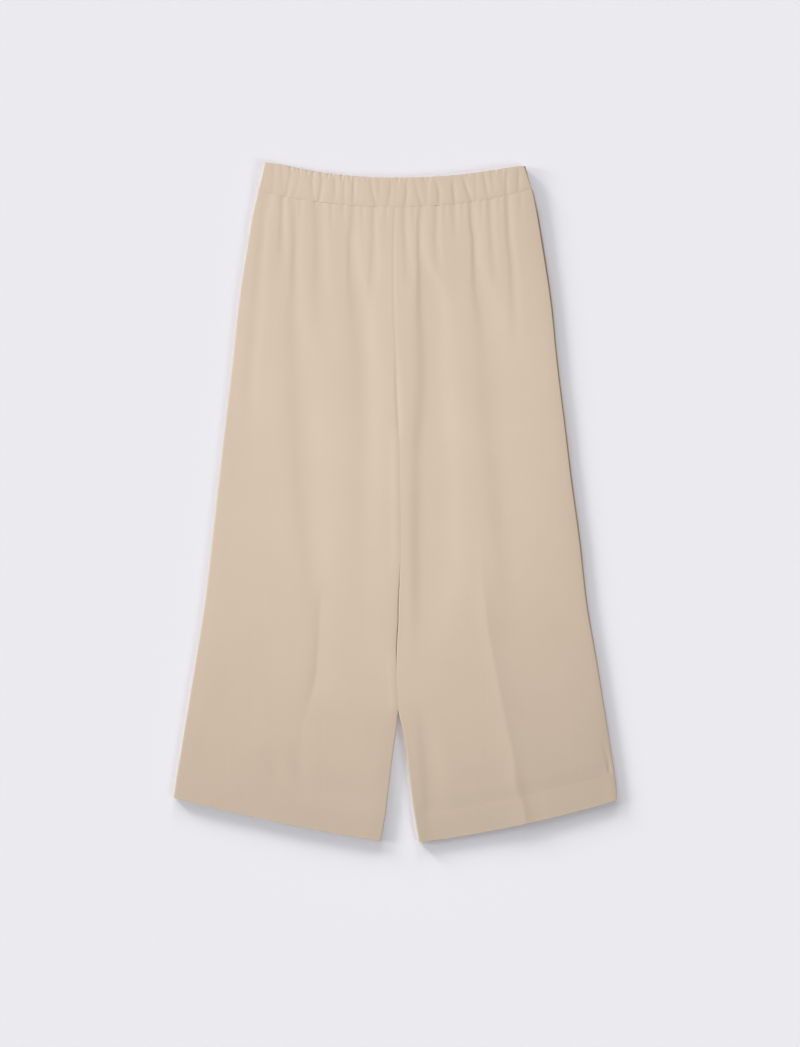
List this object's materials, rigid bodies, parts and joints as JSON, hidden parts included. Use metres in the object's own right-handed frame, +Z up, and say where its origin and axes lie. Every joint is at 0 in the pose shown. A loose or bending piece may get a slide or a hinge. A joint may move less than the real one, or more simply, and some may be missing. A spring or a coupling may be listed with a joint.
{
  "type": "culottes",
  "caption": "Wide-leg cropped culottes with a gathered elastic waistband, a centre front seam and turned-up hems, laid flat with the front up.",
  "frame": {"origin": "on the surface that the culottes lie on, in the middle of their box", "axes": "+Z up, out of the front of the culottes; +Y towards the waist; +X towards the wearer's left leg, which is on the right in a view of the front"},
  "size_m": [0.531, 0.8146, 0.0078],
  "materials": {
    "crepe": "matte beige crepe",
    "band_crepe": "matte beige crepe, gathered"
  },
  "bodies": {
    "root": {"front_right": "crepe", "front_left": "crepe", "back_right": "crepe", "back_left": "crepe", "waistband_front": "band_crepe", "waistband_back": "band_crepe"}
  },
  "joints": []
}
